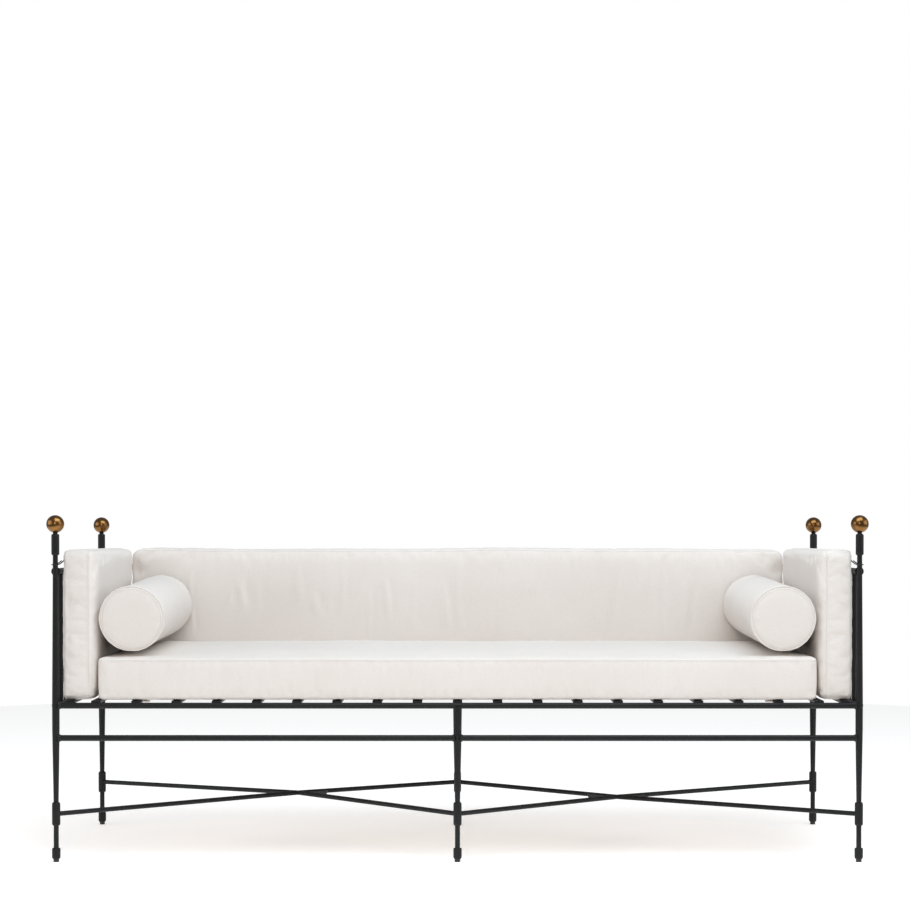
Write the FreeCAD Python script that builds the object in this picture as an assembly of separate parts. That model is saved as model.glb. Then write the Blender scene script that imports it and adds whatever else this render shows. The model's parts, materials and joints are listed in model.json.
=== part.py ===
import FreeCAD, Part

import math
import os

from FreeCAD import Vector

# A long iron daybed: slim tapered corner posts with brass ball finials, round rails, flat seat
# slats and two bent X stretchers, with loose box cushions and two round bolsters on it.
# Millimetres. Origin on the floor under the middle of the frame, +X to the right as seen from the
# front, -Y to the front, +Z up. Nodes named left are at negative X.

# ---------------------------------------------------------------- driving dimensions
POST_SPAN_X = 2130.0          # between the corner post axes, side to side
POST_SPAN_Y = 762.0           # between the corner post axes, front to back

LOWER_RAIL_Z = 329.0          # rail axis heights above the floor
SEAT_RAIL_Z = 415.0
TOP_RAIL_Z = 771.0
RAIL_R = 8.0                  # 16 mm round bar

LEG_R = 6.8                   # leg at the foot and through the lower collar
POST_FULL_R = 9.8             # corner post where the rails meet it
POST_FULL_BELOW = 25.0        # the full radius starts this far above the lower rail's axis
POST_FULL_ABOVE = 12.0        # and ends this far above the seat rail's axis
POST_TOP_R = 6.7              # corner post just under the upper collar
NECK_R = 6.2                  # neck between the upper collar and the ball
NECK_HEIGHT = 3.8
MID_LEG_RAIL_R = 10.6         # middle leg at the lower rail
MID_LEG_TOP_R = 11.7          # middle leg under the seat rail
MID_LEG_TOP_DROP = 2.0        # its top lies this far below the seat rail's axis

UPPER_COLLAR_R = 10.5
UPPER_COLLAR_Z = 842.0        # collar middle
UPPER_COLLAR_HEIGHT = 56.0
LOWER_COLLAR_R = 11.0
LOWER_COLLAR_Z = 127.5
LOWER_COLLAR_HEIGHT = 61.0
COLLAR_CHAMFER = 3.5

FERRULE_R = 11.25             # cap on each foot
FERRULE_HEIGHT = 29.0
FERRULE_FLOOR = 6.0
FERRULE_CHAMFER = 4.0
GLIDE_R = 7.5
GLIDE_HEIGHT = 8.0
GLIDE_STEM_R = 3.0

BALL_R = 23.5
STUD_R = 4.0                  # threaded stud between post and ball
STUD_IN_POST = 22.0
STUD_IN_BALL = 20.0

SLAT_WIDTH = 25.0
SLAT_THICKNESS = 6.0
SLAT_BITE = 1.0               # depth that a slat is let into the rails
SLAT_COUNT = 19               # evenly pitched slats, the middle one over the middle legs
EDGE_SLAT_INSET = 12.5        # one more slat at each end, this far inside the arm cushion's edge
SLAT_OVERHANG = 4.0           # past the front rail's axis

INFILL_R = 6.5                # 13 mm upright bars in the side and back panels
SIDE_INFILL_COUNT = 9
BACK_INFILL_COUNT = 20

STRETCHER_R = 6.35
CROSS_X = 450.0               # where each X crosses, from the middle of the frame
CROSS_RISE = {"left": 12.0, "right": 0.0}   # the left X is bent up a little at its crossing
WEB_REACH = 80.0              # plates that fill the sharp corners of each X
WEB_THICKNESS = 5.0

WELD_LEG = 4.0                # fillet weld size
WELD_ROOT = 0.7               # share of the post's radius at which the weld's cone starts

BOXING = 104.0                # seat cushion, height of the side band
SEAT_CROWN = 22.0             # how far its top swells above the band
CROWN_INSET = 95.0
PANEL_HEIGHT = 400.0          # arm and back cushions
ARM_THICKNESS = 95.5
BACK_THICKNESS = 115.0
BOLSTER_R = 88.5
BOLSTER_SETBACK = 2.5         # bolster's front end behind the arm cushion's front face
CORNER_R = 18.0               # rounding of the box cushions
BOLSTER_EDGE_R = 9.0
CROWN_TILT = 1.6              # degrees that the seat's crown, and the bolsters on it, rise to the back
COVER_SKIN = 2.0
CORE_CLEARANCE = 0.6          # between a cover and its foam

CUSHION_CLEARANCE = 1.2       # between a cushion and what it stands on or leans on
ARM_GAP = 5.0                 # between an arm cushion and the side rails
ARM_SETBACK = 4.0             # arm cushion's front face behind the post axis
PANEL_GAP = 1.0               # back cushion's ends inside the arm cushions' inner faces

TIE_R = 1.5                   # black cord loops of the arm cushions
TIE_HIGH = 6.0                # at the cushion, below the upper collar
TIE_LOW = 25.0                # at the post, below the upper collar
TIE_SLACK = 0.8
TAPE_WIDTH = 22.0             # fabric tapes of the seat cushion
TAPE_THICKNESS = 1.2
TAPE_SLATS = (1, 17)          # which slats the tapes are tied to
KNOT_LENGTH = 20.0
KNOT_HEIGHT = 7.0
TAPE_SETBACK = 14.0           # behind the front rail

ZIP_WIDTH = 9.0
ZIP_THICKNESS = 0.8
ZIP_SHARE = 0.8               # of the cushion's length

# ---------------------------------------------------------------- places that follow from them
HALF_X = POST_SPAN_X / 2
HALF_Y = POST_SPAN_Y / 2
LEG_BOTTOM = GLIDE_HEIGHT + FERRULE_FLOOR
LOWER_COLLAR_TOP = LOWER_COLLAR_Z + LOWER_COLLAR_HEIGHT / 2
UPPER_COLLAR_BOTTOM = UPPER_COLLAR_Z - UPPER_COLLAR_HEIGHT / 2
UPPER_COLLAR_TOP = UPPER_COLLAR_Z + UPPER_COLLAR_HEIGHT / 2
POST_TOP = UPPER_COLLAR_TOP + NECK_HEIGHT
BALL_Z = POST_TOP + math.sqrt(BALL_R ** 2 - NECK_R ** 2)
SLAT_BOTTOM = SEAT_RAIL_Z + RAIL_R - SLAT_BITE
SLAT_TOP = SLAT_BOTTOM + SLAT_THICKNESS
SLAT_PITCH = POST_SPAN_X / (SLAT_COUNT + 1)
SLAT_XS = [(i - (SLAT_COUNT - 1) / 2) * SLAT_PITCH for i in range(SLAT_COUNT)]
CUSHION_BOTTOM = SLAT_TOP + CUSHION_CLEARANCE
PANEL_TOP = CUSHION_BOTTOM + PANEL_HEIGHT
BACK_REAR = HALF_Y - RAIL_R - CUSHION_CLEARANCE - ZIP_THICKNESS
BACK_FRONT = BACK_REAR - BACK_THICKNESS
ARM_OUTER = HALF_X - RAIL_R - ARM_GAP
ARM_INNER = ARM_OUTER - ARM_THICKNESS
ARM_FRONT = -HALF_Y + ARM_SETBACK
ARM_REAR = BACK_FRONT - CUSHION_CLEARANCE
SEAT_HALF_LENGTH = ARM_INNER - CUSHION_CLEARANCE
SEAT_FRONT = -HALF_Y - RAIL_R
SEAT_REAR = BACK_FRONT - CUSHION_CLEARANCE
SEAT_TOP = CUSHION_BOTTOM + BOXING + SEAT_CROWN
BOLSTER_X = ARM_INNER - BOLSTER_R - 2 * CUSHION_CLEARANCE
BOLSTER_Z = SEAT_TOP + BOLSTER_R + CUSHION_CLEARANCE
BOLSTER_LEAN = BOLSTER_R * math.sin(math.radians(CROWN_TILT))   # its lower rear edge goes back
BOLSTER_REAR = BACK_FRONT - 2 * CUSHION_CLEARANCE - BOLSTER_LEAN
BOLSTER_FRONT = ARM_FRONT + BOLSTER_SETBACK
TIE_HIGH_Z = UPPER_COLLAR_BOTTOM - TIE_HIGH
TIE_LOW_Z = UPPER_COLLAR_BOTTOM - TIE_LOW
EDGE_SLAT_X = ARM_OUTER - EDGE_SLAT_INSET - SLAT_WIDTH / 2

SIDES = {"left": -1, "right": 1}
ENDS = {"front": -1, "back": 1}
X_AXIS = Vector(1, 0, 0)
Y_AXIS = Vector(0, 1, 0)
Z_AXIS = Vector(0, 0, 1)
made = {}
os.makedirs("parts", exist_ok=True)


# ---------------------------------------------------------------- helpers
def save(node, shape):
    """Writes one node's STEP and keeps the shape for later cuts."""
    made[node] = shape
    shape.exportStep("parts/" + node + ".step")


def bar(start, end, radius):
    """Round bar between two points."""
    run = end - start
    return Part.makeCylinder(radius, run.Length, start, run)


def turned(x, y, profile):
    """Solid of revolution about the vertical through (x, y); profile is (z, radius) upwards."""
    outline = [Vector(0, 0, profile[0][0])]
    outline += [Vector(r, 0, z) for z, r in profile]
    outline += [Vector(0, 0, profile[-1][0]), Vector(0, 0, profile[0][0])]
    face = Part.Face(Part.makePolygon(outline))
    solid = face.revolve(Vector(0, 0, 0), Z_AXIS, 360)
    solid.translate(Vector(x, y, 0))
    return solid


def sleeve(x, y, middle, height, radius):
    """Collar with chamfered ends, before it is bored."""
    low = middle - height / 2
    high = middle + height / 2
    edge = radius - COLLAR_CHAMFER / 2
    profile = [(low, edge), (low + COLLAR_CHAMFER, radius)]
    profile += [(high - COLLAR_CHAMFER, radius), (high, edge)]
    return turned(x, y, profile)


def box(x0, x1, y0, y1, z0, z1):
    return Part.makeBox(x1 - x0, y1 - y0, z1 - z0, Vector(x0, y0, z0))


def soft_box(x0, x1, y0, y1, z0, z1, radius):
    """Box with every edge rounded."""
    block = box(x0, x1, y0, y1, z0, z1)
    return block.makeFillet(radius, block.Edges)


def rounded_outline(x0, x1, y0, y1, z, radius):
    """Rounded rectangle wire at one height."""
    turn = radius * (1 - math.sqrt(0.5))
    corners = [
        (Vector(x1 - radius, y0, z), Vector(x1 - turn, y0 + turn, z), Vector(x1, y0 + radius, z)),
        (Vector(x1, y1 - radius, z), Vector(x1 - turn, y1 - turn, z), Vector(x1 - radius, y1, z)),
        (Vector(x0 + radius, y1, z), Vector(x0 + turn, y1 - turn, z), Vector(x0, y1 - radius, z)),
        (Vector(x0, y0 + radius, z), Vector(x0 + turn, y0 + turn, z), Vector(x0 + radius, y0, z)),
    ]
    edges = []
    for i, (first, middle, last) in enumerate(corners):
        edges.append(Part.Arc(first, middle, last).toShape())
        edges.append(Part.LineSegment(last, corners[(i + 1) % 4][0]).toShape())
    return Part.Wire(edges)


def group(shapes):
    return Part.makeCompound(shapes)


def cover_and_core(name, outer, inner, core):
    """A cushion is a fabric cover, hollow inside, and the foam that fills it."""
    save(name + "_cover", outer.cut(inner))
    save(name + "_core", core)


# ---------------------------------------------------------------- posts, legs and what is on them
def post_profile():
    return [
        (LEG_BOTTOM, LEG_R),
        (LOWER_COLLAR_TOP, LEG_R),
        (LOWER_RAIL_Z + POST_FULL_BELOW, POST_FULL_R),
        (SEAT_RAIL_Z + POST_FULL_ABOVE, POST_FULL_R),
        (UPPER_COLLAR_BOTTOM, POST_TOP_R),
        (POST_TOP, NECK_R),
    ]


def mid_leg_profile():
    return [
        (LEG_BOTTOM, LEG_R),
        (LOWER_COLLAR_TOP, LEG_R),
        (LOWER_RAIL_Z, MID_LEG_RAIL_R),
        (SEAT_RAIL_Z - MID_LEG_TOP_DROP, MID_LEG_TOP_R),
    ]


def make_posts():
    """Four corner posts, each with a collar, a stud and a brass ball at its top."""
    studs = []
    for end, y_sign in ENDS.items():
        for side, x_sign in SIDES.items():
            x = x_sign * HALF_X
            y = y_sign * HALF_Y
            stud = turned(x, y, [(POST_TOP - STUD_IN_POST, STUD_R), (POST_TOP + STUD_IN_BALL, STUD_R)])
            solid = turned(x, y, post_profile())
            collar = sleeve(x, y, UPPER_COLLAR_Z, UPPER_COLLAR_HEIGHT, UPPER_COLLAR_R)
            ball = Part.makeSphere(BALL_R, Vector(x, y, BALL_Z))
            seat = box(x - BALL_R, x + BALL_R, y - BALL_R, y + BALL_R, BALL_Z - BALL_R - 1, POST_TOP)
            save("post_" + end + "_" + side, solid.cut(stud))
            save("upper_collar_" + end + "_" + side, collar.cut(solid))
            save("ball_finial_" + end + "_" + side, ball.cut(seat).cut(stud))
            studs.append(stud)
    save("finial_studs", group(studs))


def leg_places():
    """Every leg: the four corners, then the two middle legs."""
    places = [(x * HALF_X, y * HALF_Y) for y in ENDS.values() for x in SIDES.values()]
    return places + [(0.0, y * HALF_Y) for y in ENDS.values()]


def make_feet():
    """Lower collar, foot cap and glide of each leg, alike on all six."""
    collars = []
    ferrules = []
    glides = []
    for x, y in leg_places():
        leg = turned(x, y, [(LEG_BOTTOM, LEG_R), (LOWER_COLLAR_TOP + 1, LEG_R)])
        glide = turned(x, y, [(0.0, GLIDE_R), (GLIDE_HEIGHT, GLIDE_R),
                              (GLIDE_HEIGHT, GLIDE_STEM_R), (LEG_BOTTOM, GLIDE_STEM_R)])
        top = GLIDE_HEIGHT + FERRULE_HEIGHT
        cap = turned(x, y, [(GLIDE_HEIGHT, FERRULE_R - FERRULE_CHAMFER / 2),
                            (GLIDE_HEIGHT + FERRULE_CHAMFER, FERRULE_R),
                            (top - FERRULE_CHAMFER / 2, FERRULE_R),
                            (top, FERRULE_R - FERRULE_CHAMFER / 2)])
        collars.append(sleeve(x, y, LOWER_COLLAR_Z, LOWER_COLLAR_HEIGHT, LOWER_COLLAR_R).cut(leg))
        ferrules.append(cap.cut(leg).cut(glide))
        glides.append(glide)
    save("lower_collars", group(collars))
    save("foot_ferrules", group(ferrules))
    save("foot_glides", group(glides))


# ---------------------------------------------------------------- rails
def make_rails():
    """Rails are coped to the posts; the side rails also stop against the front and back rails."""
    for end, y_sign in ENDS.items():
        y = y_sign * HALF_Y
        heights = {"seat": SEAT_RAIL_Z}
        if end == "back":
            heights["top"] = TOP_RAIL_Z
        for level, z in heights.items():
            rail = bar(Vector(-HALF_X, y, z), Vector(HALF_X, y, z), RAIL_R)
            for side in SIDES:
                rail = rail.cut(made["post_" + end + "_" + side])
            save(end + "_" + level + "_rail", rail)
        leg = turned(0, y, mid_leg_profile())
        save("mid_leg_" + end, leg.cut(made[end + "_seat_rail"]))
    for side, x_sign in SIDES.items():
        x = x_sign * HALF_X
        for level, z in {"seat": SEAT_RAIL_Z, "top": TOP_RAIL_Z}.items():
            rail = bar(Vector(x, -HALF_Y, z), Vector(x, HALF_Y, z), RAIL_R)
            for end in ENDS:
                rail = rail.cut(made["post_" + end + "_" + side])
                if end + "_" + level + "_rail" in made:
                    rail = rail.cut(made[end + "_" + level + "_rail"])
            save("side_" + level + "_rail_" + side, rail)
        lower = bar(Vector(x, -HALF_Y, LOWER_RAIL_Z), Vector(0, -HALF_Y, LOWER_RAIL_Z), RAIL_R)
        lower = lower.cut(made["post_front_" + side]).cut(made["mid_leg_front"])
        save("front_lower_rail_" + side, lower)


def upright(x, y, rails):
    """Infill bar between the axes of a seat rail and a top rail, coped to both."""
    solid = bar(Vector(x, y, SEAT_RAIL_Z), Vector(x, y, TOP_RAIL_Z), INFILL_R)
    for rail in rails:
        solid = solid.cut(made[rail])
    return solid


def make_infill():
    for side, x_sign in SIDES.items():
        rails = ["side_seat_rail_" + side, "side_top_rail_" + side]
        pitch = POST_SPAN_Y / (SIDE_INFILL_COUNT + 1)
        ys = [-HALF_Y + (i + 1) * pitch for i in range(SIDE_INFILL_COUNT)]
        save("side_infill_" + side, group([upright(x_sign * HALF_X, y, rails) for y in ys]))
    xs = [(i - (BACK_INFILL_COUNT - 1) / 2) * SLAT_PITCH for i in range(BACK_INFILL_COUNT)]
    rails = ["back_seat_rail", "back_top_rail"]
    save("back_infill", group([upright(x, HALF_Y, rails) for x in xs]))


def make_slats():
    """Flat slats let into the tops of the front and back seat rails, clear of the back bars."""
    slats = []
    for x in SLAT_XS + [-EDGE_SLAT_X, EDGE_SLAT_X]:
        slat = box(x - SLAT_WIDTH / 2, x + SLAT_WIDTH / 2, -HALF_Y - SLAT_OVERHANG,
                   HALF_Y + SLAT_OVERHANG, SLAT_BOTTOM, SLAT_TOP)
        for node in ("front_seat_rail", "back_seat_rail", "back_infill"):
            slat = slat.cut(made[node])
        slats.append(slat)
    save("seat_slats", group(slats))


# ---------------------------------------------------------------- stretchers
def make_stretchers():
    """Each bay's X is one bent bar and two halves welded to it, with a plate in each sharp corner."""
    webs = []
    collars = made["lower_collars"].Solids
    for side, x_sign in SIDES.items():
        corner_x = x_sign * HALF_X
        cross = Vector(x_sign * CROSS_X, 0, LOWER_COLLAR_Z + CROSS_RISE[side])
        ends = {
            "outer_front": Vector(corner_x, -HALF_Y, LOWER_COLLAR_Z),
            "outer_back": Vector(corner_x, HALF_Y, LOWER_COLLAR_Z),
            "inner_front": Vector(0, -HALF_Y, LOWER_COLLAR_Z),
            "inner_back": Vector(0, HALF_Y, LOWER_COLLAR_Z),
        }
        runs = {}
        for key, point in ends.items():
            run = bar(cross, point, STRETCHER_R)
            near = [c for c in collars if (c.BoundBox.Center - point).Length < LOWER_COLLAR_HEIGHT]
            for x, y in leg_places():
                if math.hypot(x - point.x, y - point.y) < 1:
                    run = run.cut(turned(x, y, [(0, LEG_R), (SEAT_RAIL_Z, LEG_R)]))
            for collar in near:
                run = run.cut(collar)
            runs[key] = run
        elbow = Part.makeSphere(STRETCHER_R, cross)
        whole = runs["outer_front"].fuse([elbow, runs["inner_back"]]).removeSplitter()
        save("stretcher_" + side + "_whole", whole)
        save("stretcher_" + side + "_outer_half", runs["outer_back"].cut(whole))
        inner = runs["inner_front"].cut(whole).cut(made["stretcher_" + side + "_outer_half"])
        save("stretcher_" + side + "_inner_half", inner)
        for reach in ("outer", "inner"):
            corners = [cross]
            for end in ENDS:
                away = ends[reach + "_" + end] - cross
                corners.append(cross + away * (WEB_REACH / abs(away.x)))
            normal = (corners[1] - cross).cross(corners[2] - cross).normalize()
            face = Part.Face(Part.makePolygon(corners + [cross]))
            plate = face.extrude(normal * WEB_THICKNESS)
            plate.translate(normal * (-WEB_THICKNESS / 2))
            for key in ("whole", "outer_half", "inner_half"):
                plate = plate.cut(made["stretcher_" + side + "_" + key])
            webs.append(plate)
    save("stretcher_webs", group(webs))


# ---------------------------------------------------------------- welds
def weld(point, away, radius, into, neighbours):
    """Fillet round a bar of this radius that leaves a post of radius into at point."""
    start = point + away * (into * WELD_ROOT)
    length = into * (1 - WELD_ROOT) + WELD_LEG
    cone = Part.makeCone(radius + WELD_LEG, radius, length, start, away)
    for other in neighbours:
        cone = cone.cut(other)
    return cone


def mitre(point, keep, other):
    """Block beyond the vertical mitre plane at point, on the side of the other bar."""
    size = 6 * RAIL_R
    along = (keep + other).normalize() * size
    beyond = (other - keep).normalize() * size
    base = point - Z_AXIS * size
    corners = [base - along, base + along, base + along + beyond, base - along + beyond]
    return Part.Face(Part.makePolygon(corners + corners[:1])).extrude(Z_AXIS * (2 * size))


def make_welds():
    """Fillet welds where the rails meet the posts and the middle leg."""
    beads = []
    for end, y_sign in ENDS.items():
        for side, x_sign in SIDES.items():
            post = made["post_" + end + "_" + side]
            levels = {"seat": (SEAT_RAIL_Z, POST_FULL_R), "top": (TOP_RAIL_Z, POST_TOP_R)}
            for level, (z, radius) in levels.items():
                point = Vector(x_sign * HALF_X, y_sign * HALF_Y, z)
                rails = [made["side_" + level + "_rail_" + side]]
                ways = [Y_AXIS * -y_sign]
                if end + "_" + level + "_rail" in made:
                    rails.append(made[end + "_" + level + "_rail"])
                    ways.append(X_AXIS * -x_sign)
                for way in ways:
                    bead = weld(point, way, RAIL_R, radius, [post] + rails)
                    for other in ways:
                        if other != way:
                            bead = bead.cut(mitre(point, way, other))
                    beads += bead.Solids
    for side, x_sign in SIDES.items():
        rail = made["front_lower_rail_" + side]
        for x, node, radius in ((x_sign * HALF_X, "post_front_" + side, POST_FULL_R),
                                (0.0, "mid_leg_front", MID_LEG_RAIL_R)):
            way = X_AXIS * (-x_sign if x else x_sign)
            point = Vector(x, -HALF_Y, LOWER_RAIL_Z)
            beads += weld(point, way, RAIL_R, radius, [made[node], rail]).Solids
    save("weld_beads", group([b for b in beads if b.Volume > 1.0]))


# ---------------------------------------------------------------- cushions
def seat_block(inset):
    """Seat cushion: straight side band, crowned top that rises a little to the back."""
    x = SEAT_HALF_LENGTH - inset
    y0 = SEAT_FRONT + inset
    y1 = SEAT_REAR - inset
    z0 = CUSHION_BOTTOM + inset
    z1 = CUSHION_BOTTOM + BOXING - inset
    ease = CORNER_R / 3
    levels = [(z0, ease), (z0 + ease, 0), (z1 - ease, 0), (z1, ease), (z1 + SEAT_CROWN, CROWN_INSET)]
    wires = [rounded_outline(-x + e, x - e, y0 + e, y1 - e, z, CORNER_R) for z, e in levels]
    pivot = Vector(0, y0 + CROWN_INSET, z1 + SEAT_CROWN)
    wires[-1] = wires[-1].rotated(pivot, X_AXIS, CROWN_TILT)
    return Part.makeLoft(wires, True, True)


def arm_block(x_sign, inset):
    xs = sorted([x_sign * (ARM_INNER + inset), x_sign * (ARM_OUTER - inset)])
    return soft_box(xs[0], xs[1], ARM_FRONT + inset, ARM_REAR - inset,
                    CUSHION_BOTTOM + inset, PANEL_TOP - inset, CORNER_R - inset)


def back_block(inset):
    half = ARM_INNER - PANEL_GAP - inset
    return soft_box(-half, half, BACK_FRONT + inset, BACK_REAR - inset,
                    CUSHION_BOTTOM + inset, PANEL_TOP - inset, CORNER_R - inset)


def bolster_block(x_sign, inset):
    start = Vector(x_sign * BOLSTER_X, BOLSTER_FRONT + inset, BOLSTER_Z)
    length = BOLSTER_REAR - BOLSTER_FRONT - 2 * inset
    roll = Part.makeCylinder(BOLSTER_R - inset, length, start, Y_AXIS)
    rims = [e for e in roll.Edges if isinstance(e.Curve, Part.Circle)]
    pivot = Vector(x_sign * BOLSTER_X, BOLSTER_FRONT, BOLSTER_Z)
    return roll.makeFillet(BOLSTER_EDGE_R - inset, rims).rotated(pivot, X_AXIS, CROWN_TILT)


def make_cushions():
    core_inset = COVER_SKIN + CORE_CLEARANCE
    cover_and_core("seat_cushion", seat_block(0), seat_block(COVER_SKIN), seat_block(core_inset))
    cover_and_core("back_cushion", back_block(0), back_block(COVER_SKIN), back_block(core_inset))
    for side, x_sign in SIDES.items():
        cover_and_core("arm_cushion_" + side, arm_block(x_sign, 0), arm_block(x_sign, COVER_SKIN),
                       arm_block(x_sign, core_inset))
        cover_and_core("bolster_" + side, bolster_block(x_sign, 0),
                       bolster_block(x_sign, COVER_SKIN), bolster_block(x_sign, core_inset))


def make_zips():
    """Zips on the outward faces of the back and arm cushions."""
    back = SEAT_HALF_LENGTH * ZIP_SHARE
    middle = (CUSHION_BOTTOM + PANEL_TOP) / 2
    strips = [box(-back, back, BACK_REAR, BACK_REAR + ZIP_THICKNESS,
                  middle - ZIP_WIDTH / 2, middle + ZIP_WIDTH / 2)]
    length = ARM_REAR - ARM_FRONT
    for x_sign in SIDES.values():
        xs = sorted([x_sign * ARM_OUTER, x_sign * (ARM_OUTER + ZIP_THICKNESS)])
        start = ARM_FRONT + length * (1 - ZIP_SHARE) / 2
        strips.append(box(xs[0], xs[1], start, start + length * ZIP_SHARE,
                          middle - ZIP_WIDTH / 2, middle + ZIP_WIDTH / 2))
    save("cushion_zips", group(strips))


def make_arm_ties():
    """Cord loop hung round each front post, rising to the arm cushion's upper corner."""
    ring_r = POST_TOP_R + TIE_SLACK + TIE_R
    for side, x_sign in SIDES.items():
        post = Vector(x_sign * HALF_X, -HALF_Y, TIE_LOW_Z)
        corner = Vector(x_sign * (ARM_OUTER - CORNER_R), ARM_FRONT + CORNER_R, TIE_HIGH_Z)
        inward = Vector(corner.x - post.x, corner.y - post.y, 0).normalize()
        across = inward.cross(Z_AXIS)
        points = []
        for degrees in (75, 110, 145, 180, 215, 250, 285):
            turn = math.radians(degrees)
            points.append(post + inward * (math.cos(turn) * ring_r) + across * (math.sin(turn) * ring_r))
        first = corner + across * TIE_R * 2
        last = corner - across * TIE_R * 2
        first_middle = (first + points[0]) * 0.5
        last_middle = (last + points[-1]) * 0.5
        spline = Part.BSplineCurve()
        spline.interpolate([first, first_middle] + points + [last_middle, last])
        path = Part.Wire([spline.toShape()])
        heading = spline.tangent(spline.FirstParameter)[0]
        section = Part.Wire(Part.makeCircle(TIE_R, first, heading))
        loop = path.makePipeShell([section], True, False)
        pieces = loop.cut(arm_block(x_sign, 0)).Solids
        save("arm_tie_" + side, max(pieces, key=lambda piece: piece.Volume))


def make_seat_ties():
    """Fabric tape looped round a slat, with a flat knot beside it, close behind the front rail."""
    front = -HALF_Y + RAIL_R + TAPE_SETBACK
    for index, (side, x_sign) in zip(TAPE_SLATS, SIDES.items()):
        x = SLAT_XS[index]
        half = SLAT_WIDTH / 2
        t = TAPE_THICKNESS
        band = box(x - half - t, x + half + t, front, front + TAPE_WIDTH,
                   SLAT_BOTTOM - t, SLAT_TOP + t * 0.8)
        slat = box(x - half, x + half, front - 1, front + TAPE_WIDTH + 1, SLAT_BOTTOM, SLAT_TOP)
        inner = x - x_sign * (half + t)
        xs = sorted([inner, inner - x_sign * KNOT_LENGTH])
        knot = box(xs[0], xs[1], front, front + TAPE_WIDTH, SLAT_TOP - KNOT_HEIGHT, SLAT_TOP)
        knot = knot.makeFillet(KNOT_HEIGHT * 0.3, knot.Edges)
        save("seat_tie_" + side, band.cut(slat).fuse(knot))


make_posts()
make_feet()
make_rails()
make_infill()
make_slats()
make_stretchers()
make_welds()
make_cushions()
make_zips()
make_arm_ties()
make_seat_ties()
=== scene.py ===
import json
import math
import random

import bmesh
import bpy
import numpy as np
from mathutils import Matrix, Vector, noise
from mathutils.bvhtree import BVHTree


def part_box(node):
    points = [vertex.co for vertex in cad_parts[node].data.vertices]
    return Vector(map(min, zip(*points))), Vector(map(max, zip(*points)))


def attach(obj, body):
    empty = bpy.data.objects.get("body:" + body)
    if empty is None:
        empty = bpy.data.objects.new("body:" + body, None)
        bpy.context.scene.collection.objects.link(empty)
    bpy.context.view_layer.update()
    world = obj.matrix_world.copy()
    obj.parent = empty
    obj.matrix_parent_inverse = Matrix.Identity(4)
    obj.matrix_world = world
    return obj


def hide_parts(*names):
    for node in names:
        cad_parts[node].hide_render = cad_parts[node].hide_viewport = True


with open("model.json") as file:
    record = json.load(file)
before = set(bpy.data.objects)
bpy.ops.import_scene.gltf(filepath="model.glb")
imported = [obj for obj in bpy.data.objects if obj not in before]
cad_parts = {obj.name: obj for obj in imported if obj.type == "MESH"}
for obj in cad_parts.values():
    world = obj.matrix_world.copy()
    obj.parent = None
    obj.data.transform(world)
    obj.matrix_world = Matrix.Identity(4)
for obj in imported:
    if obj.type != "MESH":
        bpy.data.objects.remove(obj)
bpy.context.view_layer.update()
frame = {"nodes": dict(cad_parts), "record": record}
random.seed(7)
SIDES = {"left": -1, "right": 1}
scene = bpy.context.scene

# ---------------------------------------------------------------- camera
# The eye is level with the top of the cushions, well in front of the middle of the daybed.
EYE_HEIGHT = 0.870
EYE_DISTANCE = 5.866          # in front of the front posts' axes
PITCH_DOWN = 1.0              # degrees
LENS = 87.63                  # mm
SENSOR = 36.0                 # mm
SHIFT_X = -0.00275
SHIFT_Y = 0.1293
FRONT_POST_Y = sum(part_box("post_front_left")[i].y for i in (0, 1)) / 2


def make_camera():
    data = bpy.data.cameras.new("camera")
    data.lens = LENS
    data.sensor_width = SENSOR
    data.shift_x = SHIFT_X
    data.shift_y = SHIFT_Y
    data.clip_end = 100.0
    camera = bpy.data.objects.new("camera", data)
    camera.location = (0.0, FRONT_POST_Y - EYE_DISTANCE, EYE_HEIGHT)
    camera.rotation_euler = (math.radians(90 - PITCH_DOWN), 0.0, 0.0)
    scene.collection.objects.link(camera)
    scene.camera = camera


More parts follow.
